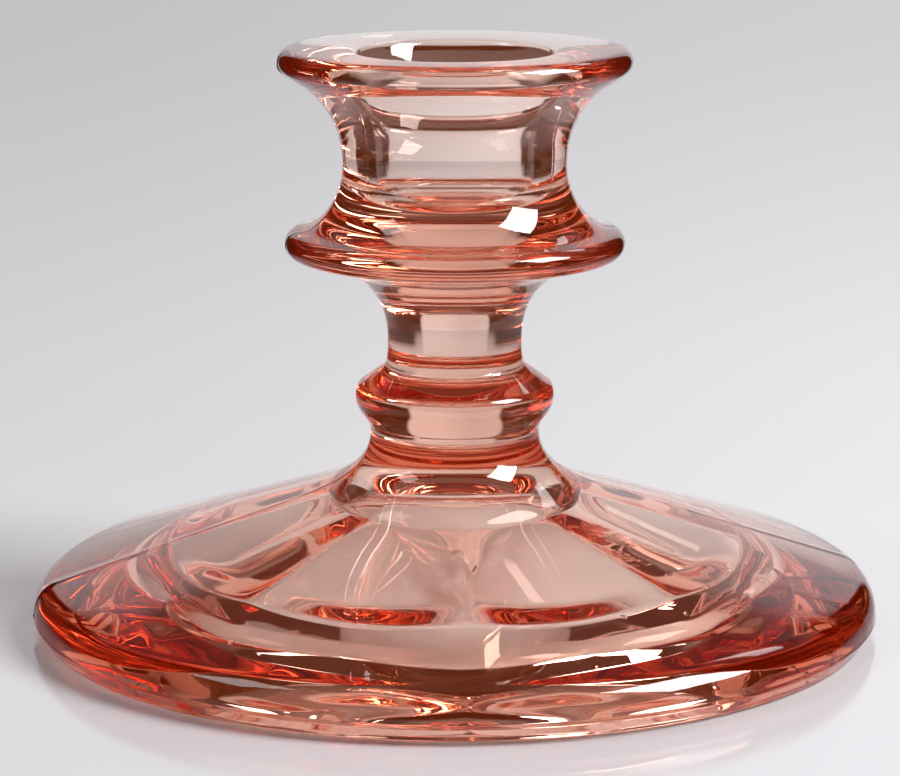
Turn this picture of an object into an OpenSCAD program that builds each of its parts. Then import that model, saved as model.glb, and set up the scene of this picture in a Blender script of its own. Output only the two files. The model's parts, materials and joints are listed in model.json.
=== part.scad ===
// Low pressed-glass candlestick for one taper candle.
// The glass stands on its foot ring at z = 0, and the candle axis is +Z.
// It is drawn as the sections a glassmaker names, from the foot up, and each
// section sits face to face on the one below it.

/* [Foot] */
// Diameter of the foot at its widest
foot_d = 121.5; // [112:0.5:132]
// How far the standing ring's outside is in from the foot's widest line
edge_in = 0.95; // [0.9:0.05:1.6]
// Height of the parting line above the table
parting_h = 2.2; // [1.4:0.1:2.6]
// Radius of the bottom corner of the foot edge
edge_lower_r = 0.8; // [0.4:0.1:1.2]
// Height of the upright band between the parting line and the shoulder
edge_band_h = 0.6; // [0.2:0.1:1.2]
// Radius of the shoulder between the foot edge and the top of the foot
shoulder_r = 4.6; // [3:0.1:6]
// Slope of the foot's top, in degrees below the horizontal
foot_slope = 18.2; // [16:0.1:20]
// Height of the foot, from the table to the narrowest part of the lower neck
foot_h = 28.2; // [26:0.1:31]
// Diameter of the lower neck, where the foot meets the knop
neck_d = 24.2; // [22:0.1:27]
// Radius from the axis at which the neck's flare runs into the straight slope
flare_r = 27; // [24:0.5:32]

/* [Hollow under the foot] */
// Width of the standing ring at the crown of each arch
ring_w = 16.1; // [14:0.1:18]
// How far each cusp between two arches stands in from the arch crowns
cusp_depth = 2.8; // [2:0.1:5]
// Number of panels round the hollow
panels = 8; // [6:1:10]
// Thickness of the glass of the web, measured upright
web_t = 5.2; // [4:0.1:6]
// Least glass between an arch crown and the face where the ring meets the web
ring_seat = 0.6; // [0.3:0.1:1]
// How far each ridge between two panels stands down from the web
ridge_h = 0.9; // [0.4:0.1:1.4]
// Radius of the ridges' round backs
ridge_r = 9; // [6:0.5:12]
// Height of the crown of the hollow above the table
hollow_h = 20.2; // [18:0.1:21]
// Diameter of the round dome at the middle, where the panels run out
dome_d = 32; // [28:0.5:38]
// Lean of the ring's inner wall at the arch crowns, in degrees from the vertical
wall_lean = 24; // [14:1:30]
// Turn of the panels about the axis, in degrees
panel_turn = 1.8; // [0:0.1:22.5]

/* [Knop and stem] */
// Diameter of the knop
knop_d = 28.5; // [27.5:0.1:32]
// Height of the knop, from the lower neck to the foot of the stem
knop_h = 9.4; // [8.6:0.1:12]
// Height of the knop's widest line above the lower neck
knop_wide_h = 5.1; // [4.4:0.1:5.4]
// Diameter at which the sloped top of the knop starts
knop_top_d = 26.8; // [25.6:0.1:27.4]
// Height of that sloped top, up to the foot of the stem
knop_top_h = 2.5; // [1.8:0.1:3]
// Diameter of the stem at its narrowest
stem_d = 19.2; // [17:0.1:21]
// Diameter at the foot of the stem, where it meets the knop
stem_foot_d = 19.9; // [19.4:0.1:21]
// Height of the stem, from the knop to the underside of the drip flange
stem_h = 14.2; // [12:0.1:18]
// Height of the stem's narrowest line above the knop
stem_narrow_h = 3.9; // [3:0.1:5]
// Diameter of the stem's flare, where it meets the flange
stem_flare_d = 33; // [30:0.1:38]

/* [Drip flange] */
// Diameter of the drip flange
flange_d = 48.4; // [44:0.1:54]
// Height of the flange section, from the stem to the foot of the socket
flange_h = 5.4; // [5:0.1:6.5]
// Height of the flange's widest line above the stem
flange_wide_h = 3.4; // [3:0.1:3.6]
// Radius of the flange's rounded edge
flange_edge_r = 1.9; // [1.4:0.1:2]
// Diameter at the foot of the socket, where its wall leaves the flange
socket_foot_d = 42.4; // [40:0.1:44]

/* [Candle socket] */
// Diameter of the bore that grips the candle
bore_d = 22.4; // [21:0.1:24]
// Depth of the socket, from the top of the rim to its floor
socket_depth = 23.5; // [21:0.1:25]
// Length of the straight bore that grips the candle
bore_len = 7.2; // [5:0.1:9]
// Radius of the rounded corner between the bore and the socket floor
floor_corner_r = 5; // [3:0.1:6]
// Diameter of the mouth, where the lead-in starts
mouth_d = 28; // [26:0.1:30]
// Diameter of the socket's waist, outside
waist_d = 31.8; // [30:0.1:34]
// Height of the socket section, from the flange to the rim
socket_h = 21.4; // [20:0.1:24]
// Height of the waist above the foot of the socket
waist_h = 9.3; // [8:0.1:11]

/* [Rim] */
// Diameter of the rim at its widest
rim_d = 50.2; // [46:0.1:56]
// Diameter at which the underside of the rim leaves the socket wall
rim_root_d = 45.6; // [42:0.1:46]
// Height of the rim section
rim_h = 4.3; // [3.8:0.1:5]
// Radius of the rim's rounded edge
rim_edge_r = 1.8; // [1.5:0.1:2]
// Width of the level top of the rim
rim_flat_w = 2; // [1:0.1:3]
// How far the top of the rim falls towards the mouth
rim_dish = 0.6; // [0.2:0.1:1]
// Width of the steeper lip that leads over into the mouth
mouth_lip_w = 1.5; // [0.8:0.1:2.5]

/* [Mould seam] */
// How far the seam round the foot edge stands out of the glass
seam_proud = 0.2; // [0.1:0.05:0.4]
// Thickness of that seam where it leaves the glass
seam_t = 0.4; // [0.2:0.05:0.8]

/* [Hidden] */

$fn = 96;
curve_steps = 12;
over = 1;
glass_pink = [0.86, 0.56, 0.48, 0.6];
glass_thick = [0.78, 0.42, 0.32, 0.6];
seam_pink = [0.66, 0.3, 0.22];

// Heights of the faces where one section meets the next
z_knop = foot_h;
z_stem = z_knop + knop_h;
z_flange = z_stem + stem_h;
z_socket = z_flange + flange_h;
z_rim = z_socket + socket_h;
z_top = z_rim + rim_h;

// Radii up the outside, from the foot to the rim
r_foot = foot_d / 2;
r_standing = r_foot - edge_in;
r_neck = neck_d / 2;
r_knop = knop_d / 2;
r_knop_top = knop_top_d / 2;
r_stem_foot = stem_foot_d / 2;
r_stem = stem_d / 2;
r_flare = stem_flare_d / 2;
r_socket_foot = socket_foot_d / 2;
r_waist = waist_d / 2;
r_rim_root = rim_root_d / 2;

// The straight slope of the foot's top, as a height for each radius
shoulder_x = r_foot - shoulder_r;
shoulder_z = parting_h + edge_band_h;
slope_r = shoulder_x + shoulder_r * sin(foot_slope);
slope_z = shoulder_z + shoulder_r * cos(foot_slope);
function slope_at(r) = slope_z + (slope_r - r) * tan(foot_slope);

// Each arch is a circle through its crown and the cusps beside it
r_hollow = r_standing - ring_w;
r_cusp = r_hollow - cusp_depth;
half_panel = 180 / panels;
arch_x = (r_hollow * r_hollow - r_cusp * r_cusp) / (2 * (r_hollow - r_cusp * cos(half_panel)));
arch_r = r_hollow - arch_x;
// The ring's inner wall leans in from the arch crowns and meets the web here
wall_top_z = (slope_z - web_t + (slope_r - r_hollow) * tan(foot_slope))
    / (1 - tan(wall_lean) * tan(foot_slope));
wall_top_r = r_hollow - wall_top_z * tan(wall_lean);
// The dome is the cap of a ball whose top is hollow_h above the table, and the
// web and the neck meet on the upright face through its edge
r_dome = dome_d / 2;
dome_edge_z = slope_at(r_dome) - web_t;
dome_rise = hollow_h - dome_edge_z;
r_ball = (r_dome * r_dome + dome_rise * dome_rise) / (2 * dome_rise);
// The ring and the web meet on this upright face, outside every arch
r_split = r_hollow + ring_seat;

// Socket floor and the stretch of bore above it
z_floor = z_top - socket_depth;
z_bore = z_floor + floor_corner_r;
r_bore = bore_d / 2;
r_mouth = mouth_d / 2;

// Points along an arc, from angle a0 to angle a1
function arc(x, z, r, a0, a1, n = curve_steps) =
    [for (i = [0:n]) let (a = a0 + (a1 - a0) * i / n) [x + r * cos(a), z + r * sin(a)]];

// Points along a smooth curve that leaves p0 at angle a0 and reaches p3 at angle a3.
// Each pull is a share of the distance between the ends: more pull, later turn
function curve(p0, a0, pull0, p3, a3, pull3, n = curve_steps) = let (
    far = norm(p3 - p0),
    p1 = p0 + pull0 * far * [cos(a0), sin(a0)],
    p2 = p3 - pull3 * far * [cos(a3), sin(a3)])
    [for (i = [0:n]) let (t = i / n, u = 1 - t)
        u * u * u * p0 + 3 * u * u * t * p1 + 3 * u * t * t * p2 + t * t * t * p3];

// Outside of the foot edge below the parting line, from the table up
function edge_lower_line() =
    arc(r_standing - edge_lower_r, edge_lower_r, edge_lower_r, -90, -10, 4);

// The foot edge above the parting line, up to the straight slope
function edge_upper_line() = concat([[r_foot, parting_h]],
    arc(shoulder_x, shoulder_z, shoulder_r, 0, 90 - foot_slope));

// The flare from the straight slope up to the lower neck
function flare_line() = curve(
    [flare_r, slope_at(flare_r)], 180 - foot_slope, 0.47,
    [r_neck, foot_h], 90, 0.34);

// The knop swells from the neck, turns over its widest line and slopes in to the stem
function knop_line() = let (
    wide = [r_knop, z_knop + knop_wide_h],
    top = [r_knop_top, z_stem - knop_top_h],
    top_angle = atan2(knop_top_h, r_stem_foot - r_knop_top)) concat(
    curve([r_neck, z_knop], 90, 0.29, wide, 90, 0.47, 8),
    curve(wide, 90, 0.5, top, top_angle, 0.31, 6),
    [[r_stem_foot, z_stem]]);

// The stem is narrowest a little above the knop, then flares out under the flange
function stem_line() = let (narrow = [r_stem, z_stem + stem_narrow_h]) concat(
    curve([r_stem_foot, z_stem], 106, 0.32, narrow, 90, 0.38, 6),
    curve(narrow, 90, 0.4, [r_flare, z_flange], 20, 0.39));

// The flange's underside rises to a round edge, and its top runs in to the socket
function flange_line() = concat(
    [[r_flare, z_flange]],
    arc(flange_d / 2 - flange_edge_r, z_flange + flange_wide_h, flange_edge_r, -72, 78),
    [[r_socket_foot, z_socket]]);

// The socket wall narrows to its waist and flares out again under the rim
function socket_line() = let (waist = [r_waist, z_socket + waist_h]) concat(
    curve([r_socket_foot, z_socket], 155, 0.25, waist, 90, 0.43),
    curve(waist, 90, 0.32, [r_rim_root, z_rim], 30, 0.43));

// The rim's edge is round, and its top falls a little towards the mouth
function rim_line() = let (edge_r = rim_d / 2 - rim_edge_r) concat(
    [[r_rim_root, z_rim]],
    arc(edge_r, z_top - rim_edge_r, rim_edge_r, -52, 90),
    [[edge_r - rim_flat_w, z_top], [r_mouth + mouth_lip_w, z_top - rim_dish / 2],
     [r_mouth, z_top - rim_dish]]);

// A solid of revolution whose outside is the given line, closed on the axis
module turned(line)
    rotate_extrude() polygon(concat([[0, line[0][1]]], line, [[0, line[len(line) - 1][1]]]));

// The space that the candle and its lead-in take out of the rim and the socket
module socket_space() {
    // The straight bore that grips the candle
    translate([0, 0, z_bore]) cylinder(r = r_bore, h = bore_len);
    // The rounded floor
    rotate_extrude() polygon(concat([[0, z_floor]],
        arc(r_bore - floor_corner_r, z_bore, floor_corner_r, -90, 0), [[0, z_bore]]));
    // The lead-in from the mouth down to the bore
    rotate_extrude() polygon(concat([[0, z_bore + bore_len], [r_bore, z_bore + bore_len]],
        curve([r_bore, z_bore + bore_len], 83, 0.36, [r_mouth, z_top - rim_dish], 63, 0.28),
        [[r_mouth, z_top + over], [0, z_top + over]]));
}

// The round back of one ridge, which runs out along +X under the web
module ridge() {
    translate([0, 0, slope_at(0) - web_t - ridge_h]) rotate([0, 90 + foot_slope, 0])
        translate([-ridge_r, 0, -r_hollow]) cylinder(r = ridge_r, h = 3 * r_hollow, $fn = 180);
}

// The space under the web: round arches inside a leaning wall, with ridges between
module panel_space() difference() {
    intersection() {
        turned([[r_hollow + over * tan(wall_lean), -over], [wall_top_r, wall_top_z],
            [0, slope_at(0) - web_t]]);
        for (i = [0:panels - 1]) rotate([0, 0, panel_turn + 360 / panels * i])
            translate([arch_x, 0, -over]) cylinder(r = arch_r, h = foot_h);
    }
    for (i = [0:panels - 1]) rotate([0, 0, panel_turn + 360 / panels * (i + 0.5)]) ridge();
}

module foot_solid() turned(concat(edge_lower_line(), edge_upper_line(), flare_line()));

module foot_ring() color(glass_thick) difference() {
    foot_solid();
    translate([0, 0, -over]) cylinder(r = r_split, h = foot_h + 2 * over);
}

// The web: everything between the ring and the neck, with the panels cut from below
module foot_web() color(glass_pink) difference() {
    intersection() {
        foot_solid();
        cylinder(r = r_split, h = foot_h + over);
    }
    translate([0, 0, -over]) cylinder(r = r_dome, h = foot_h + 3 * over);
    panel_space();
}

// The neck: solid glass under the knop, with the dome of the hollow cut from below
module foot_neck() color(glass_thick) difference() {
    intersection() {
        foot_solid();
        cylinder(r = r_dome, h = foot_h + over);
    }
    translate([0, 0, hollow_h - r_ball]) intersection() {
        sphere(r = r_ball, $fn = 180);
        cylinder(r = r_dome + over, h = r_ball + over);
    }
    translate([0, 0, -over]) cylinder(r = r_dome + over, h = dome_edge_z + over);
}

module knop() color(glass_pink) turned(knop_line());

module stem() color(glass_pink) turned(stem_line());

module drip_flange() color(glass_thick) turned(flange_line());

module candle_socket() color(glass_pink) difference() {
    turned(socket_line());
    socket_space();
}

module mouth_rim() color(glass_thick) difference() {
    turned(rim_line());
    socket_space();
}

module mould_seam() color(seam_pink)
    translate([0, 0, parting_h]) rotate_extrude() translate([r_foot, 0])
        polygon([[0, -seam_t / 2], [seam_proud, 0], [0, seam_t / 2]]);

foot_ring();
foot_web();
foot_neck();
knop();
stem();
drip_flange();
candle_socket();
mouth_rim();
mould_seam();
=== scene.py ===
"""Low pressed-glass candlestick in clear pink glass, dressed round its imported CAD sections.

The real candlestick is one pressing, so the glass is one closed body: each
sub-assembly draws its own stretch of the outline and spins it into a shell, and
the shells are joined ring to ring. Sizes are in millimetres, and the heights and
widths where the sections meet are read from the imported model.
"""

from __future__ import annotations

import json
import logging
import math
from dataclasses import dataclass, field
from enum import Enum

import bpy
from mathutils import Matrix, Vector

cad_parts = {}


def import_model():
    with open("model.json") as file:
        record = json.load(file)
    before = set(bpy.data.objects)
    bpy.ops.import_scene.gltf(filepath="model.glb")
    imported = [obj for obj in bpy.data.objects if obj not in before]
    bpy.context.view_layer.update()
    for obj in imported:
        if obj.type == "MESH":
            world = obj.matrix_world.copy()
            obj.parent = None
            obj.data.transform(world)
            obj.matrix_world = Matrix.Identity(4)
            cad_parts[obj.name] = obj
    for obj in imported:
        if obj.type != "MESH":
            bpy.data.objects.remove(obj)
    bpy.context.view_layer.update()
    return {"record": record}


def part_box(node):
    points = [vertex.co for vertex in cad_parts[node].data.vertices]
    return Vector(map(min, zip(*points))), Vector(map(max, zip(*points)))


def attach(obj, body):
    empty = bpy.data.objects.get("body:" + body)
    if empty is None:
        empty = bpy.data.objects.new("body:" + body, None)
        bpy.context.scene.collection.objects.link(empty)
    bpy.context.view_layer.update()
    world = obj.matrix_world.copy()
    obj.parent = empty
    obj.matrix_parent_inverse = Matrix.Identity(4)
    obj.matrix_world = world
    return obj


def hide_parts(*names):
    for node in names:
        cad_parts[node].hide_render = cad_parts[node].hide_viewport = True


LOG = logging.getLogger("candlestick")
MM = 0.001
WELD = 0.002 * MM

Point = tuple[float, float]
Line = list[Point]
Colour = tuple[float, float, float]
Value = bpy.types.NodeSocket | float


class Side(Enum):
    """The sides of the candlestick at which an upright mould seam stands."""

    LEFT = 180.0
    RIGHT = 0.0


class LightRole(Enum):
    """What each soft light does in the studio."""

    KEY = "key"
    FILL = "fill"


# ---------------------------------------------------------------- outlines


def polar(length: float, degrees: float) -> Vector:
    """Returns the 2-D vector of the given length and angle."""
    return Vector((length * math.cos(math.radians(degrees)), length * math.sin(math.radians(degrees))))


def arc(centre: Point, radius: float, start: float, end: float, steps: int) -> Line:
    """Lists points along an arc.

    Args:
        centre: Radius from the axis and height of the arc's centre.
        radius: Radius of the arc.
        start: First angle in degrees, from the outward direction.
        end: Last angle in degrees.
        steps: Number of stretches between points.

    Returns:
        The points, first to last.
    """
    turns = [start + (end - start) * i / steps for i in range(steps + 1)]
    return [tuple(Vector(centre) + polar(radius, turn)) for turn in turns]


def curve(p0: Point, a0: float, pull0: float, p3: Point, a3: float, pull3: float, steps: int) -> Line:
    """Lists points along a smooth curve between two points.

    Args:
        p0: First point.
        a0: Angle in degrees at which the curve leaves it.
        pull0: How long it holds that angle, as a share of the distance.
        p3: Last point.
        a3: Angle at which the curve arrives.
        pull3: How long it has held that angle.
        steps: Number of stretches between points.

    Returns:
        The points, first to last.
    """
    first, last = Vector(p0), Vector(p3)
    far = (last - first).length
    second = first + polar(pull0 * far, a0)
    third = last - polar(pull3 * far, a3)
    line = []
    for i in range(steps + 1):
        t = i / steps
        u = 1.0 - t
        line.append(tuple(u**3 * first + 3 * u * u * t * second + 3 * u * t * t * third + t**3 * last))
    return line


def straight(p0: Point, p1: Point, steps: int) -> Line:
    """Lists evenly spaced points between two points, both ends included."""
    return [tuple(Vector(p0).lerp(Vector(p1), i / steps)) for i in range(steps + 1)]


def without_repeats(line: Line) -> Line:
    """Drops each point that repeats the one before it.

    Args:
        line: The points.

    Returns:
        The points that are left.
    """
    kept = [line[0]]
    for point in line[1:]:
        if (Vector(point) - Vector(kept[-1])).length > 1e-4:
            kept.append(point)
    return kept


# ---------------------------------------------------------------- mesh tools


def deselect_all() -> None:
    """Leaves object mode and deselects everything."""
    if bpy.context.object and bpy.context.object.mode != "OBJECT":
        bpy.ops.object.mode_set(mode="OBJECT")
    bpy.ops.object.select_all(action="DESELECT")


def make_active(piece: bpy.types.Object) -> None:
    """Selects one piece alone and makes it the active one.

    Args:
        piece: The piece.
    """
    deselect_all()
    piece.select_set(True)
    bpy.context.view_layer.objects.active = piece


def draw_line(name: str, line: Line) -> bpy.types.Object:
    """Draws an outline as a row of edges in the upright plane through +X.

    Args:
        name: Name of the new object.
        line: Radius and height of each point, in millimetres.

    Returns:
        The new object, in object mode.
    """
    deselect_all()
    bpy.ops.mesh.primitive_plane_add(size=MM)
    piece = bpy.context.object
    piece.name = piece.data.name = name
    bpy.ops.object.mode_set(mode="EDIT")
    bpy.ops.mesh.select_all(action="SELECT")
    bpy.ops.mesh.merge(type="CENTER")
    bpy.ops.transform.translate(value=(line[0][0] * MM, 0.0, line[0][1] * MM))
    for before, after in zip(line, line[1:]):
        step = ((after[0] - before[0]) * MM, 0.0, (after[1] - before[1]) * MM)
        bpy.ops.mesh.extrude_region_move(TRANSFORM_OT_translate={"value": step})
    bpy.ops.object.mode_set(mode="OBJECT")
    return piece


def spin_shell(piece: bpy.types.Object, columns: int) -> None:
    """Spins an outline once round the candle's axis into an open shell.

    Args:
        piece: The outline.
        columns: Number of faces round the shell.
    """
    make_active(piece)
    bpy.ops.object.mode_set(mode="EDIT")
    bpy.ops.mesh.select_all(action="SELECT")
    bpy.ops.mesh.spin(steps=columns, angle=math.tau, center=(0, 0, 0), axis=(0, 0, 1), dupli=False)
    bpy.ops.mesh.select_all(action="SELECT")
    bpy.ops.mesh.remove_doubles(threshold=WELD)
    bpy.ops.object.mode_set(mode="OBJECT")


def mark_outside(shell: bpy.types.Object) -> None:
    """Puts all of a shell's vertices in the group that the mould seams stand on."""
    group = shell.vertex_groups.new(name="outside")
    group.add([vertex.index for vertex in shell.data.vertices], 1.0, "REPLACE")


def turn_about_axis(piece: bpy.types.Object, degrees: float) -> None:
    """Turns a piece's mesh about the candle's axis.

    Args:
        piece: The piece, whose object stays unturned.
        degrees: The angle, from +X towards +Y.
    """
    make_active(piece)
    bpy.ops.object.mode_set(mode="EDIT")
    bpy.ops.mesh.select_all(action="SELECT")
    bpy.ops.transform.rotate(value=-math.radians(degrees), orient_axis="Z", center_override=(0, 0, 0))
    bpy.ops.object.mode_set(mode="OBJECT")


def join_shells(shells: list[bpy.types.Object], name: str) -> bpy.types.Object:
    """Joins open shells into one closed body with its faces outwards.

    Args:
        shells: Shells whose end rings meet.
        name: Name of the body.

    Returns:
        The body.
    """
    make_active(shells[0])
    for shell in shells[1:]:
        shell.select_set(True)
    bpy.ops.object.join()
    body = bpy.context.object
    body.name = body.data.name = name
    bpy.ops.object.mode_set(mode="EDIT")
    bpy.ops.mesh.select_all(action="SELECT")
    bpy.ops.mesh.remove_doubles(threshold=WELD)
    bpy.ops.mesh.normals_make_consistent(inside=False)
    bpy.ops.mesh.faces_shade_smooth()
    bpy.ops.object.mode_set(mode="OBJECT")
    return body


# ---------------------------------------------------------------- node tools


def math_node(tree: bpy.types.NodeTree, operation: str, *values: Value) -> bpy.types.NodeSocket:
    """Adds a math node.

    Args:
        tree: The node tree.
        operation: Name of the operation.
        *values: Sockets or numbers that it works on.

    Returns:
        The socket of its result.
    """
    node = tree.nodes.new("ShaderNodeMath")
    node.operation = operation
    for i, value in enumerate(values):
        if isinstance(value, (int, float)):
            node.inputs[i].default_value = value
        else:
            tree.links.new(value, node.inputs[i])
    return node.outputs["Value"]


def fade_node(
    tree: bpy.types.NodeTree, value: bpy.types.NodeSocket, none: float, full: float
) -> bpy.types.NodeSocket:
    """Adds a soft step.

    Args:
        tree: The node tree.
        value: Socket of the value to step over.
        none: Value at which the result is 0.
        full: Value at which the result is 1.

    Returns:
        The socket of the result.
    """
    node = tree.nodes.new("ShaderNodeMapRange")
    node.interpolation_type = "SMOOTHSTEP"
    node.inputs["From Min"].default_value = none
    node.inputs["From Max"].default_value = full
    tree.links.new(value, node.inputs["Value"])
    return node.outputs["Result"]


def mix_node(
    tree: bpy.types.NodeTree,
    share: bpy.types.NodeSocket,
    first: bpy.types.NodeSocket | Colour,
    second: bpy.types.NodeSocket | Colour,
) -> bpy.types.NodeSocket:
    """Adds a mix of two colours.

    Args:
        tree: The node tree.
        share: Socket of the second colour's share.
        first: First colour, or its socket.
        second: Second colour, or its socket.

    Returns:
        The socket of the mixed colour.
    """
    node = tree.nodes.new("ShaderNodeMix")
    node.data_type = "RGBA"
    tree.links.new(share, node.inputs[0])
    for slot, colour in ((6, first), (7, second)):
        if isinstance(colour, tuple):
            node.inputs[slot].default_value = (*colour, 1.0)
        else:
            tree.links.new(colour, node.inputs[slot])
    return node.outputs[2]


# ---------------------------------------------------------------- the frame's sizes


@dataclass(frozen=True)
class Levels:
    """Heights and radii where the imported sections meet, in millimetres."""

    foot_r: float
    knop_z: float
    knop_r: float
    stem_z: float
    flange_z: float
    flare_r: float
    flange_r: float
    socket_z: float
    rim_root_r: float
    rim_z: float
    rim_r: float
    top_z: float
    bore_r: float

    @classmethod
    def from_frame(cls, record: dict) -> Levels:
        """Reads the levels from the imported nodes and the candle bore's mount.

        Args:
            record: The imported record.

        Returns:
            The levels.
        """
        box = {node["node"]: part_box(node["node"]) for node in record["subparts"]}
        bore = next(mount for mount in record["mounts"] if mount["name"] == "candle_bore")

        def radius(node: str) -> float:
            """Largest radius of a node."""
            return box[node][1][0] / MM

        def top(node: str) -> float:
            """Height of a node's top."""
            return box[node][1][2] / MM

        return cls(
            foot_r=radius("foot_ring"),
            knop_z=top("foot_neck"),
            knop_r=radius("knop"),
            stem_z=top("knop"),
            flange_z=top("stem"),
            flare_r=radius("stem"),
            flange_r=radius("drip_flange"),
            socket_z=top("drip_flange"),
            rim_root_r=radius("candle_socket"),
            rim_z=top("candle_socket"),
            rim_r=radius("mouth_rim"),
            top_z=top("mouth_rim"),
            bore_r=bore["dims"]["r_mm"],
        )


# ---------------------------------------------------------------- the foot


@dataclass
class Foot:
    """The foot: a sloping web between a heavy standing ring and the neck.

    The hollow under it is pressed into round-backed panels, with grooves between
    them that start from a smooth dome. Each groove ends in the crown of an arch in
    the ring's inner edge, and each panel at the cusp between two arches.
    """

    levels: Levels
    columns: int
    edge_in: float = 0.95
    corner_r: float = 0.8
    parting_h: float = 2.2
    parting_w: float = 0.17
    parting_out: float = 0.09
    parting_step: float = 0.02
    band_h: float = 0.6
    shoulder_r: float = 4.6
    slope: float = 18.2
    flare_r: float = 27.0
    neck_r: float = 12.1
    panels: int = 8
    edge_r: float = 43.65
    arch_r: float = 24.0
    wall_top_r: float = 40.3
    wall_top_z: float = 7.2
    wall_mid_z: float = 5.0
    wall_steps: int = 24
    wall_lean: float = 2.5
    arch_lean: float = 11.0
    arch_share: float = 0.7
    flare_h: float = 2.2
    fillet: float = 0.8
    web_t: float = 5.4
    web_slope: float = 15.5
    web_ref_r: float = 38.0
    lobe_h: float = 2.3
    lobe_start: float = 12.0
    groove_soft: float = 0.06
    shelf_r: float = 34.0
    shelf_turn: float = 2.3
    dome_r: float = 16.0
    dome_z: float = 20.2

    def slope_z(self, r: float) -> float:
        """Works out the height of the foot's straight top slope.

        Args:
            r: Radius from the axis.

        Returns:
            Its height above the table.
        """
        shoulder_x = self.levels.foot_r - self.shoulder_r
        shoulder_z = self.parting_h + self.band_h
        start_r = shoulder_x + self.shoulder_r * math.sin(math.radians(self.slope))
        start_z = shoulder_z + self.shoulder_r * math.cos(math.radians(self.slope))
        return start_z + (start_r - r) * math.tan(math.radians(self.slope))

    def web_z(self, r: float) -> float:
        """Height of the web's underside along a groove."""
        start = self.slope_z(self.web_ref_r) - self.web_t
        return start + (self.web_ref_r - r) * math.tan(math.radians(self.web_slope))

    def outside(self) -> Line:
        """Draws the outside from the table up to the neck.

        Returns:
            The line, with the parting ridge on the foot's edge.
        """
        low = (self.levels.foot_r - self.edge_in - self.corner_r, self.corner_r)
        line = arc(low, self.corner_r, -90, -12, 6)
        below = (self.levels.foot_r - self.parting_step, self.parting_h - self.parting_w)
        line += straight(line[-1], below, 3)
        line += [(self.levels.foot_r + self.parting_out, self.parting_h)]
        line += [(self.levels.foot_r, self.parting_h + self.parting_w)]
        centre = (self.levels.foot_r - self.shoulder_r, self.parting_h + self.band_h)
        line += arc(centre, self.shoulder_r, 0, 90 - self.slope, 16)
        foot_of_flare = (self.flare_r, self.slope_z(self.flare_r))
        line += straight(line[-1], foot_of_flare, 16)
        neck = (self.neck_r, self.levels.knop_z)
        line += curve(foot_of_flare, 180 - self.slope, 0.47, neck, 90, 0.34, 20)
        return without_repeats(line)

    def arch_edge(self, share: float) -> float:
        """Works out the radius of the ring's inner edge at the table.

        Args:
            share: 0 at an arch's crown, and 1 at the cusp beside it.

        Returns:
            The radius, which is that of a round arch.
        """
        centre = self.edge_r - self.arch_r
        turn = share * math.pi / self.panels
        return centre * math.cos(turn) + math.sqrt(self.arch_r**2 - (centre * math.sin(turn)) ** 2)

    def lobe(self, r: float, share: float) -> float:
        """How far the round back of a panel stands down from its groove.

        Args:
            r: Radius from the axis.
            share: 0 along the groove, and 1 along the round back.

        Returns:
            The depth, which levels out on the shelf beside the ring.
        """
        grown = max(0.0, (r - self.lobe_start) / (self.web_ref_r - self.lobe_start))
        slope = math.tan(math.radians(self.web_slope))
        past = max(0.0, r - self.shelf_r)
        turned = min(past, self.shelf_turn)
        level = slope * (0.5 * turned**2 / self.shelf_turn + past - turned)
        soft = math.hypot(share, self.groove_soft) - self.groove_soft
        return (self.lobe_h * grown - level) * (1.0 - (1.0 - soft) ** 2)

    def wall_at(self, share: float, z: float) -> float:
        """Works out the radius of the ring's inner wall.

        Args:
            share: 0 at an arch's crown, where the wall leans most, and 1 at its cusp.
            z: Height above the table.

        Returns:
            The radius, which flares out to the arch's edge just above the table.
        """
        lean = self.wall_lean + self.arch_lean * max(0.0, 1.0 - share / self.arch_share)
        slope = math.tan(math.radians(lean))
        flare = self.arch_edge(share) - self.wall_top_r - self.wall_top_z * slope
        flared = flare * max(0.0, 1.0 - z / self.flare_h) ** 2
        return self.wall_top_r + (self.wall_top_z - z) * slope + flared

    def hollow(self, share: float) -> Line:
        """Draws the underside from the axis out to the foot's edge.

        Args:
            share: 0 along the groove that ends in an arch's crown, and 1 along the
                round back of a panel, which ends in a cusp.

        Returns:
            The line, with as many points for each share.
        """
        edge_z = self.web_z(self.dome_r)
        rise = self.dome_z - edge_z
        ball = (self.dome_r**2 + rise**2) / (2 * rise)
        cap = math.degrees(math.asin(self.dome_r / ball))
        wall_z = self.web_z(self.wall_at(share, self.wall_mid_z))
        wall_z -= self.lobe(self.web_ref_r, share) + self.fillet
        web_end = self.wall_at(share, wall_z) - self.fillet
        line = arc((0.0, self.dome_z - ball), ball, 90, 90 - cap, 18)
        line += straight(line[-1], (web_end, self.web_z(web_end)), 40)[1:]
        line = [(r, z - self.lobe(r, share)) for r, z in line]
        top_z = line[-1][1] - self.fillet
        wall_top = (self.wall_at(share, top_z), top_z)
        line += curve(line[-1], -self.web_slope, 0.55, wall_top, -90, 0.45, 10)[1:]
        heights = [top_z * (1.0 - i / self.wall_steps) for i in range(1, self.wall_steps)]
        line += [(self.wall_at(share, z), z) for z in heights]
        flat_end = self.levels.foot_r - self.edge_in - self.corner_r
        return line + straight((self.arch_edge(share), 0.0), (flat_end, 0.0), 8)

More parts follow.
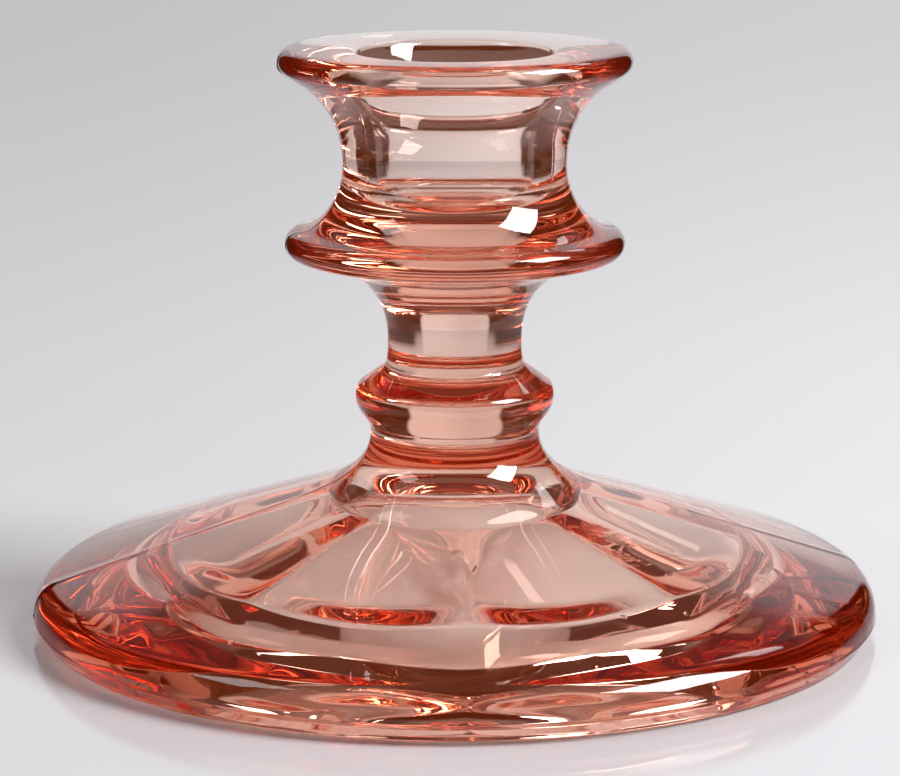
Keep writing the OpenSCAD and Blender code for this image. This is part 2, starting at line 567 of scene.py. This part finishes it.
    def shape_panels(self, shell: bpy.types.Object) -> None:
        """Moves the underside's vertices from the groove's line to the line of their own share.

        Args:
            shell: The hollow, spun from its line at a groove.
        """
        half = math.pi / self.panels
        groove = [Vector(point) for point in self.hollow(0.0)]
        place: dict[Point, int] = {}
        lines: dict[float, Line] = {}
        for vertex in shell.data.vertices:
            x, y, z = (value / MM for value in vertex.co)
            turn = math.atan2(y, x)
            share = round(abs((turn + half) % (2 * half) - half) / half, 4)
            if share not in lines:
                lines[share] = self.hollow(share)
            found = (round(math.hypot(x, y), 2), round(z, 2))
            if found not in place:
                place[found] = min(range(len(groove)), key=lambda i: (groove[i] - Vector(found)).length)
            r, z = lines[share][place[found]]
            vertex.co = (r * math.cos(turn) * MM, r * math.sin(turn) * MM, z * MM)

    def build(self) -> list[bpy.types.Object]:
        """Spins the foot's two shells and shapes the hollow.

        Returns:
            The hollow and the outside, whose end rings meet at the standing ring.
        """
        under = draw_line("foot_hollow", self.hollow(0.0))
        spin_shell(under, self.columns)
        self.shape_panels(under)
        over = draw_line("foot_outside", self.outside())
        spin_shell(over, self.columns)
        mark_outside(over)
        return [under, over]


# ---------------------------------------------------------------- knop and stem


@dataclass
class Stem:
    """The knop above the foot and the stem that flares out under the flange."""

    levels: Levels
    columns: int
    neck_r: float = 12.1
    wide_h: float = 5.1
    shoulder_r: float = 13.4
    shoulder_h: float = 2.5
    foot_r: float = 9.95
    narrow_r: float = 9.6
    narrow_h: float = 3.9

    def outside(self) -> Line:
        """Draws the outside from the neck up to the flange.

        Returns:
            The line of the knop and the stem.
        """
        at = self.levels
        wide = (at.knop_r, at.knop_z + self.wide_h)
        shoulder = (self.shoulder_r, at.stem_z - self.shoulder_h)
        fall = math.degrees(math.atan2(self.shoulder_h, self.foot_r - self.shoulder_r))
        foot = (self.foot_r, at.stem_z)
        narrow = (self.narrow_r, at.stem_z + self.narrow_h)
        line = curve((self.neck_r, at.knop_z), 90, 0.29, wide, 90, 0.47, 12)
        line += curve(wide, 90, 0.5, shoulder, fall, 0.31, 8)
        line += straight(shoulder, foot, 4)
        line += curve(foot, 106, 0.32, narrow, 90, 0.38, 8)
        line += curve(narrow, 90, 0.4, (at.flare_r, at.flange_z), 20, 0.39, 18)
        return without_repeats(line)

    def build(self) -> list[bpy.types.Object]:
        """Spins the knop and stem.

        Returns:
            The one shell.
        """
        shell = draw_line("knop_and_stem", self.outside())
        spin_shell(shell, self.columns)
        mark_outside(shell)
        return [shell]


# ---------------------------------------------------------------- socket


@dataclass
class Socket:
    """The candle socket with its drip flange, waisted wall, rim, lead-in, bore and floor."""

    levels: Levels
    columns: int
    flange_wide_h: float = 3.4
    flange_edge_r: float = 1.9
    foot_r: float = 21.2
    waist_r: float = 15.9
    waist_h: float = 9.3
    rim_edge_r: float = 1.8
    rim_flat_w: float = 2.0
    dish: float = 0.6
    mouth_r: float = 14.0
    depth: float = 23.5
    bore_len: float = 7.2
    corner_r: float = 5.0

    def outside(self) -> Line:
        """Draws the outside from the stem's flare up to the rim's edge.

        Returns:
            The line of the flange, the waisted wall and the rim.
        """
        at = self.levels
        waist = (self.waist_r, at.socket_z + self.waist_h)
        edge = (at.flange_r - self.flange_edge_r, at.flange_z + self.flange_wide_h)
        line = [(at.flare_r, at.flange_z)]
        line += arc(edge, self.flange_edge_r, -72, 78, 16)
        line += curve((self.foot_r, at.socket_z), 155, 0.25, waist, 90, 0.43, 18)
        line += curve(waist, 90, 0.32, (at.rim_root_r, at.rim_z), 30, 0.43, 18)
        centre = (at.rim_r - self.rim_edge_r, at.top_z - self.rim_edge_r)
        line += arc(centre, self.rim_edge_r, -52, 90, 16)
        return without_repeats(line)

    def inside(self) -> Line:
        """Draws the top of the rim, the mouth, the bore and the socket floor.

        Returns:
            The line, from the rim's edge in to the axis.
        """
        at = self.levels
        edge_r = at.rim_r - self.rim_edge_r
        bore_z = at.top_z - self.depth + self.corner_r
        mouth = (self.mouth_r, at.top_z - self.dish)
        line = straight((edge_r, at.top_z), (edge_r - self.rim_flat_w, at.top_z), 2)
        line += curve(line[-1], 180, 0.4, mouth, -130, 0.08, 14)
        line += curve(mouth, -117, 0.28, (at.bore_r, bore_z + self.bore_len), -97, 0.36, 16)
        line += straight(line[-1], (at.bore_r, bore_z), 6)
        line += arc((at.bore_r - self.corner_r, bore_z), self.corner_r, 0, -90, 14)
        line += straight(line[-1], (0.0, at.top_z - self.depth), 6)
        return without_repeats(line)

    def build(self) -> list[bpy.types.Object]:
        """Spins the socket's two shells.

        Returns:
            The outside and the inside, whose end rings meet on the rim.
        """
        over = draw_line("socket_outside", self.outside())
        spin_shell(over, self.columns)
        mark_outside(over)
        within = draw_line("socket_inside", self.inside())
        spin_shell(within, self.columns)
        return [over, within]


# ---------------------------------------------------------------- mould seams


@dataclass(frozen=True)
class UprightSeam:
    """A fine upright ridge where two halves of the mould met, with burrs at the widest edges."""

    side: Side
    turn: float = 7.6
    half_w: float = 0.22
    height: float = 0.05
    burr: float = 0.10
    burr_reach: float = 0.7
    burr_in: float = 1.5
    foot_burr_z: float = 2.2
    rim_burr_h: float = 1.6

    def height_at(self, r: float, z: float, levels: Levels) -> float:
        """Works out how far the ridge stands out.

        Args:
            r: Radius from the axis.
            z: Height above the table.
            levels: The frame's sizes.

        Returns:
            The ridge's height, which is most at the foot's edge and at the rim.
        """
        near = 0.0
        if r > levels.foot_r - self.burr_in:
            near = math.exp(-((z - self.foot_burr_z) ** 2) / self.burr_reach**2)
        elif r > levels.rim_r - self.burr_in and z > levels.socket_z:
            near = math.exp(-((z - levels.rim_z - self.rim_burr_h) ** 2) / self.burr_reach**2)
        return self.height + self.burr * near

    def raise_on(self, body: bpy.types.Object, levels: Levels, columns: int) -> int:
        """Gathers the columns beside the seam and lifts the one on it.

        Args:
            body: The glass, whose outer vertices are in the group "outside".
            levels: The frame's sizes.
            columns: Number of faces round the body.

        Returns:
            How many vertices were lifted.
        """
        seam = math.radians(self.side.value + self.turn)
        step = math.tau / columns
        outside = body.vertex_groups["outside"].index
        lifted = 0
        for vertex in body.data.vertices:
            if all(group.group != outside for group in vertex.groups):
                continue
            x, y, z = (value / MM for value in vertex.co)
            off = (math.atan2(y, x) - seam + math.pi) % math.tau - math.pi
            if abs(off) > 1.5 * step:
                continue
            r = math.hypot(x, y)
            turn = seam
            if abs(off) > 0.5 * step:
                turn += math.copysign(min(abs(off), self.half_w / r), off)
            place = Vector((r * math.cos(turn), r * math.sin(turn), z))
            if abs(off) <= 0.5 * step:
                place += vertex.normal * self.height_at(r, z, levels)
                place.z = min(max(place.z, 0.0), levels.top_z)
                lifted += 1
            vertex.co = place * MM
        return lifted


# ---------------------------------------------------------------- finish


@dataclass(frozen=True)
class PinkGlass:
    """Clear pressed glass, tinted pink all through and polished by fire."""

    ior: float = 1.52
    tint: Colour = (0.96, 0.37, 0.11)
    density: float = 35.0
    roughness: float = 0.0
    ripple: float = 0.012
    ripple_scale: float = 140.0
    wrinkle: float = 0.05
    wrinkle_scale: float = 900.0
    wrinkle_y: float = -19.0
    wrinkle_half: float = 2.6
    wrinkle_from: float = 12.0
    wrinkle_full: float = 22.0
    seed: float = 0.15
    seed_scale: float = 90.0
    seed_size: float = 0.05

    def relief(self) -> bpy.types.NodeTree:
        """Builds the fine relief of the pressed surface as a node group.

        Returns:
            A group whose output is the normal: slow ripple all over, the wrinkle where
            the glass cooled against the mould on the right shoulder, and a few seeds.
        """
        tree = bpy.data.node_groups.new("pressed_surface", "ShaderNodeTree")
        tree.interface.new_socket("Normal", in_out="OUTPUT", socket_type="NodeSocketVector")
        place = tree.nodes.new("ShaderNodeTexCoord").outputs["Object"]
        waves = tree.nodes.new("ShaderNodeTexNoise")
        waves.inputs["Scale"].default_value = self.ripple_scale
        waves.inputs["Detail"].default_value = 2.0
        tree.links.new(place, waves.inputs["Vector"])
        slow = math_node(tree, "MULTIPLY", waves.outputs["Fac"], self.ripple)
        creases = tree.nodes.new("ShaderNodeTexNoise")
        creases.inputs["Scale"].default_value = self.wrinkle_scale
        tree.links.new(place, creases.inputs["Vector"])
        folded = math_node(tree, "MULTIPLY", creases.outputs["Fac"], self.wrinkle)
        folded = math_node(tree, "MULTIPLY", folded, self.shoulder(tree, place))
        cells = tree.nodes.new("ShaderNodeTexVoronoi")
        cells.inputs["Scale"].default_value = self.seed_scale
        tree.links.new(place, cells.inputs["Vector"])
        seeds = fade_node(tree, cells.outputs["Distance"], self.seed_size, 0.0)
        seeds = math_node(tree, "MULTIPLY", seeds, self.seed)
        height = math_node(tree, "ADD", slow, math_node(tree, "ADD", folded, seeds))
        bump = tree.nodes.new("ShaderNodeBump")
        bump.inputs["Distance"].default_value = MM
        tree.links.new(height, bump.inputs["Height"])
        ends = tree.nodes.new("NodeGroupOutput")
        tree.links.new(bump.outputs["Normal"], ends.inputs["Normal"])
        return tree

    def shoulder(self, tree: bpy.types.NodeTree, place: bpy.types.NodeSocket) -> bpy.types.NodeSocket:
        """Adds the nodes that single out the strip of the wrinkle.

        Args:
            tree: The node tree.
            place: The place in the object.

        Returns:
            One along the strip, and zero away from it.
        """
        axes = tree.nodes.new("ShaderNodeSeparateXYZ")
        tree.links.new(place, axes.inputs["Vector"])
        off = math_node(tree, "SUBTRACT", axes.outputs["Y"], self.wrinkle_y * MM)
        near = fade_node(tree, math_node(tree, "ABSOLUTE", off), self.wrinkle_half * MM, 0.0)
        right = fade_node(tree, axes.outputs["X"], self.wrinkle_from * MM, self.wrinkle_full * MM)
        return math_node(tree, "MULTIPLY", near, right)

    def material(self) -> bpy.types.Material:
        """Builds the material.

        Returns:
            Glass whose colour comes from absorption, so it deepens with thickness.
        """
        glass = bpy.data.materials.new("pink_glass")
        glass.use_nodes = True
        nodes, links = glass.node_tree.nodes, glass.node_tree.links
        shader = nodes["Principled BSDF"]
        shader.inputs["Base Color"].default_value = (1.0, 1.0, 1.0, 1.0)
        shader.inputs["Transmission Weight"].default_value = 1.0
        shader.inputs["IOR"].default_value = self.ior
        shader.inputs["Roughness"].default_value = self.roughness
        relief = nodes.new("ShaderNodeGroup")
        relief.node_tree = self.relief()
        links.new(relief.outputs["Normal"], shader.inputs["Normal"])
        depth = nodes.new("ShaderNodeVolumeAbsorption")
        depth.inputs["Color"].default_value = (*self.tint, 1.0)
        depth.inputs["Density"].default_value = self.density
        links.new(depth.outputs["Volume"], nodes["Material Output"].inputs["Volume"])
        return glass

    def dress(self, piece: bpy.types.Object) -> None:
        """Gives a piece this finish alone."""
        piece.data.materials.clear()
        piece.data.materials.append(self.material())


# ---------------------------------------------------------------- studio


@dataclass(frozen=True)
class SoftLight:
    """One soft light, placed by its direction from the candlestick."""

    role: LightRole
    azimuth: float
    elevation: float
    distance: float
    width: float
    height: float
    watts: float
    aim_z: float = 0.035

    def hang(self) -> bpy.types.Object:
        """Hangs the light and aims it at the candlestick.

        Returns:
            The light's object.
        """
        a, e = math.radians(self.azimuth), math.radians(self.elevation)
        away = Vector((math.sin(a) * math.cos(e), -math.cos(a) * math.cos(e), math.sin(e)))
        place = away * self.distance + Vector((0.0, 0.0, self.aim_z))
        bpy.ops.object.light_add(type="AREA", location=place)
        light = bpy.context.object
        light.name = light.data.name = f"{self.role.value}_light"
        light.rotation_euler = away.to_track_quat("Z", "Y").to_euler()
        light.data.shape = "RECTANGLE"
        light.data.size = self.width
        light.data.size_y = self.height
        light.data.energy = self.watts
        return light


@dataclass
class Studio:
    """Pale table and backdrop in a dim room, with painted light and shade on both, soft lights and the
    camera.
    """

    table_drop: float = 0.0002
    table_half: float = 2.5
    table_grey: Colour = (0.58, 0.575, 0.595)
    # painted light: the table is painted palest under and round the glass, standing in for light through it
    painted_light_grey: Colour = (0.98, 0.98, 0.98)
    painted_light_r: float = 0.046
    painted_light_end_r: float = 0.060
    table_roughness: float = 0.12
    # painted shade: the table far out at the sides, dark for every ray but the camera's
    painted_shade_side: Colour = (0.05, 0.03, 0.02)
    painted_shade_from_r: float = 0.10
    painted_shade_full_r: float = 0.24
    painted_shade_soft: float = 6.0
    room_grey: Colour = (0.14, 0.14, 0.145)
    room_warm: Colour = (0.10, 0.025, 0.006)
    # painted light and shade: the camera's backdrop is darker to the left and paler to the right, where the
    # key light falls
    painted_shade_left_grey: Colour = (0.72, 0.71, 0.72)
    painted_light_right_grey: Colour = (0.88, 0.865, 0.885)
    view_half: float = 0.16
    backdrop_half: float = 22.0
    backdrop_soft: float = 3.0
    sweep_start: float = 28.0
    sweep_full: float = 36.0
    sweep_half: float = 48.0
    sweep_end: float = 62.0
    sweep_front: float = 0.12
    mirror_loss: float = 0.85
    # painted reflection: a bright panel that shows only in mirror reflections
    panel_turn: float = 34.0
    panel_half: float = 10.0
    panel_soft: float = 2.0
    panel_rise: float = 41.5
    panel_tall: float = 0.030
    panel_edge: float = 0.042
    panel_strength: float = 5.0
    tilt: float = 12.11
    lens: float = 136.83
    camera_place: tuple[float, float, float] = (-0.000705, -0.4802, 0.13698)
    bounces: int = 40
    lights: tuple[SoftLight, ...] = (
        SoftLight(LightRole.KEY, 76.0, 42.0, 0.9, 0.44, 0.44, 12.5),
        SoftLight(LightRole.FILL, -80.0, 50.0, 1.0, 0.30, 0.30, 1.2),
    )

    def table_colour(self, tree: bpy.types.NodeTree) -> bpy.types.NodeSocket:
        """Adds the nodes of the table's colour.

        Args:
            tree: The table's node tree.

        Returns:
            The colour: a painted pool of light under the glass, standing in for the light that passes
            through it, and painted shade far out at the sides for every ray but the camera's.
        """
        place = tree.nodes.new("ShaderNodeSeparateXYZ")
        tree.links.new(tree.nodes.new("ShaderNodeTexCoord").outputs["Object"], place.inputs["Vector"])
        x, y = place.outputs["X"], place.outputs["Y"]
        squares = [math_node(tree, "MULTIPLY", axis, axis) for axis in (x, y)]
        away = math_node(tree, "SQRT", math_node(tree, "ADD", *squares))
        aside = math_node(tree, "ABSOLUTE", math_node(tree, "ARCTAN2", x, y))
        side = math.radians(self.backdrop_half)
        beside = fade_node(tree, aside, side, side + math.radians(self.painted_shade_soft))
        camera_ray = tree.nodes.new("ShaderNodeLightPath").outputs["Is Camera Ray"]
        unseen = math_node(tree, "SUBTRACT", 1.0, camera_ray)
        far = fade_node(tree, away, self.painted_shade_from_r, self.painted_shade_full_r)
        # Painted shade: far out at the sides the table is painted dark for every ray but the camera's,
        # standing in for the unlit room.
        dark = math_node(tree, "MULTIPLY", math_node(tree, "MULTIPLY", far, beside), unseen)
        # Painted light: a paler pool painted under the glass, standing in for the light that passes through
        # it.
        outside = fade_node(tree, away, self.painted_light_r, self.painted_light_end_r)
        pale = mix_node(tree, outside, self.painted_light_grey, self.table_grey)
        return mix_node(tree, dark, pale, self.painted_shade_side)

    def table(self) -> bpy.types.Object:
        """Lays the table just under the standing ring.

        Returns:
            The table.
        """
        deselect_all()
        bpy.ops.mesh.primitive_plane_add(size=2 * self.table_half, location=(0.0, 0.0, -self.table_drop))
        table = bpy.context.object
        table.name = "table"
        finish = bpy.data.materials.new("white_table")
        finish.use_nodes = True
        shader = finish.node_tree.nodes["Principled BSDF"]
        shader.inputs["Roughness"].default_value = self.table_roughness
        finish.node_tree.links.new(self.table_colour(finish.node_tree), shader.inputs["Base Color"])
        table.data.materials.append(finish)
        return table

    def sweep(
        self, tree: bpy.types.NodeTree, way: bpy.types.Node, turn: bpy.types.NodeSocket, path: bpy.types.Node
    ) -> bpy.types.NodeSocket:
        """Adds the nodes that say where the pale sweep is seen.

        Args:
            tree: The world's node tree.
            way: The node with the three parts of the ray's direction.
            turn: The direction's angle to the right of straight behind.
            path: The Light Path node.

        Returns:
            One on the sweep and for camera rays, and zero elsewhere. The glass's
            mirror images of the high part are dimmed.
        """
        aside = math_node(tree, "ABSOLUTE", turn)
        side = math.radians(self.backdrop_half)
        middle = fade_node(tree, aside, side, side - math.radians(self.backdrop_soft))
        low, full = (math.sin(math.radians(angle)) for angle in (self.sweep_start, self.sweep_full))
        high = fade_node(tree, way.outputs["Z"], low, full)
        broad = fade_node(tree, aside, math.radians(self.sweep_end), math.radians(self.sweep_half))
        over = math_node(tree, "MULTIPLY", high, broad)
        behind = fade_node(tree, way.outputs["Y"], 0.0, self.sweep_front)
        bright = math_node(tree, "MULTIPLY", behind, math_node(tree, "MAXIMUM", middle, over))
        mirrored = math_node(tree, "MULTIPLY", path.outputs["Is Glossy Ray"], high)
        mirrored = math_node(tree, "MULTIPLY", mirrored, self.mirror_loss)
        bright = math_node(tree, "MULTIPLY", bright, math_node(tree, "SUBTRACT", 1.0, mirrored))
        return math_node(tree, "MAXIMUM", bright, path.outputs["Is Camera Ray"])

    def painted_reflection_panel(
        self, tree: bpy.types.NodeTree, way: bpy.types.Node, turn: bpy.types.NodeSocket, path: bpy.types.Node
    ) -> bpy.types.NodeSocket:
        """Adds the nodes of a painted reflection: a bright panel behind on the right that is seen only in
        mirror reflections.

        Args:
            tree: The world's node tree.
            way: The node with the three parts of the ray's direction.
            turn: The direction's angle to the right of straight behind.
            path: The Light Path node.

        Returns:
            One on the panel for mirror reflections, and zero elsewhere.
        """
        off = math_node(tree, "SUBTRACT", turn, math.radians(self.panel_turn))
        rise = math_node(tree, "SUBTRACT", way.outputs["Z"], math.sin(math.radians(self.panel_rise)))
        half = math.radians(self.panel_half)
        wide = fade_node(tree, math_node(tree, "ABSOLUTE", off), half + math.radians(self.panel_soft), half)
        tall = fade_node(tree, math_node(tree, "ABSOLUTE", rise), self.panel_edge, self.panel_tall)
        panel = math_node(tree, "MULTIPLY", wide, tall)
        return math_node(tree, "MULTIPLY", path.outputs["Is Glossy Ray"], panel)

    def room(self) -> None:
        """Surrounds the table with a dim room under a pale sweep.

        The sweep rises behind the candlestick and curves forward over it, so the
        sides near the table and the camera's side of the room stay dark.
        """
        world = bpy.data.worlds.new("room")
        bpy.context.scene.world = world
        world.use_nodes = True
        tree = world.node_tree
        nodes, links = tree.nodes, tree.links
        path = nodes.new("ShaderNodeLightPath")
        way = nodes.new("ShaderNodeSeparateXYZ")
        links.new(nodes.new("ShaderNodeTexCoord").outputs["Generated"], way.inputs["Vector"])
        turn = math_node(tree, "ARCTAN2", way.outputs["X"], way.outputs["Y"])
        dim = nodes["Background"]
        walls = mix_node(tree, path.outputs["Is Diffuse Ray"], self.room_warm, self.room_grey)
        links.new(walls, dim.inputs["Color"])
        backdrop = nodes.new("ShaderNodeBackground")
        # Painted light: the backdrop seen by the camera grows paler towards the right, where the key light
        # falls.
        across = fade_node(tree, way.outputs["X"], -self.view_half, self.view_half)
        links.new(mix_node(tree, across, self.painted_shade_left_grey, self.painted_light_right_grey), backdrop.inputs["Color"])
        # Painted reflection: this bright panel is seen only in mirror reflections and gives no direct light.
        panel = nodes.new("ShaderNodeBackground")
        panel.inputs["Strength"].default_value = self.panel_strength
        seen = dim.outputs["Background"]
        layers = (
            (self.sweep(tree, way, turn, path), backdrop),
            (self.painted_reflection_panel(tree, way, turn, path), panel),
        )
        for share, layer in layers:
            mix = nodes.new("ShaderNodeMixShader")
            links.new(share, mix.inputs["Fac"])
            links.new(seen, mix.inputs[1])
            links.new(layer.outputs["Background"], mix.inputs[2])
            seen = mix.outputs["Shader"]
        links.new(seen, nodes["World Output"].inputs["Surface"])

    def camera(self) -> None:
        """Sets the camera in front of the candlestick, a little above its rim."""
        turned = (math.radians(90 - self.tilt), 0.0, 0.0)
        bpy.ops.object.camera_add(location=self.camera_place, rotation=turned)
        camera = bpy.context.object
        camera.name = "camera"
        camera.data.sensor_width = 36.0
        camera.data.lens = self.lens
        camera.data.clip_start = 0.01
        bpy.context.scene.camera = camera

    def light_paths(self) -> None:
        """Lets light pass as many times through the glass as it does in the real thing."""
        cycles = bpy.context.scene.cycles
        cycles.max_bounces = self.bounces
        cycles.glossy_bounces = self.bounces
        cycles.transmission_bounces = self.bounces
        cycles.transparent_max_bounces = 24

    def build(self) -> None:
        """Builds the whole studio."""
        self.table()
        self.room()
        for light in self.lights:
            light.hang()
        self.camera()
        self.light_paths()
        bpy.context.scene.view_settings.view_transform = "Standard"


# ---------------------------------------------------------------- the candlestick


@dataclass
class Candlestick:
    """The whole pressing, joined from its sub-assemblies and dressed as pink glass."""

    levels: Levels
    columns: int = 256
    panel_turn: float = 1.8
    glass: PinkGlass = field(default_factory=PinkGlass)

    def build(self) -> bpy.types.Object:
        """Builds the glass body.

        Returns:
            The one closed body.
        """
        shells: list[bpy.types.Object] = []
        for part in (Foot, Stem, Socket):
            made = part(self.levels, self.columns).build()
            LOG.info("%s: %d shells", part.__name__, len(made))
            shells += made
        body = join_shells(shells, "glass_body")
        turn_about_axis(body, self.panel_turn)
        for side in Side:
            lifted = UprightSeam(side).raise_on(body, self.levels, self.columns)
            LOG.info("%s seam: %d vertices", side.name.lower(), lifted)
        self.glass.dress(body)
        return body


def main() -> None:
    """Builds the candlestick round its frame and sets it in the studio."""
    logging.basicConfig(level=logging.INFO, format="%(message)s")
    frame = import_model()
    record = frame["record"]
    body = Candlestick(Levels.from_frame(record)).build()
    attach(body, "root")
    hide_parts(*[part["node"] for part in record["subparts"]])
    LOG.info("%s: %d faces", body.name, len(body.data.polygons))
    Studio().build()


if __name__ == "__main__":
    main()
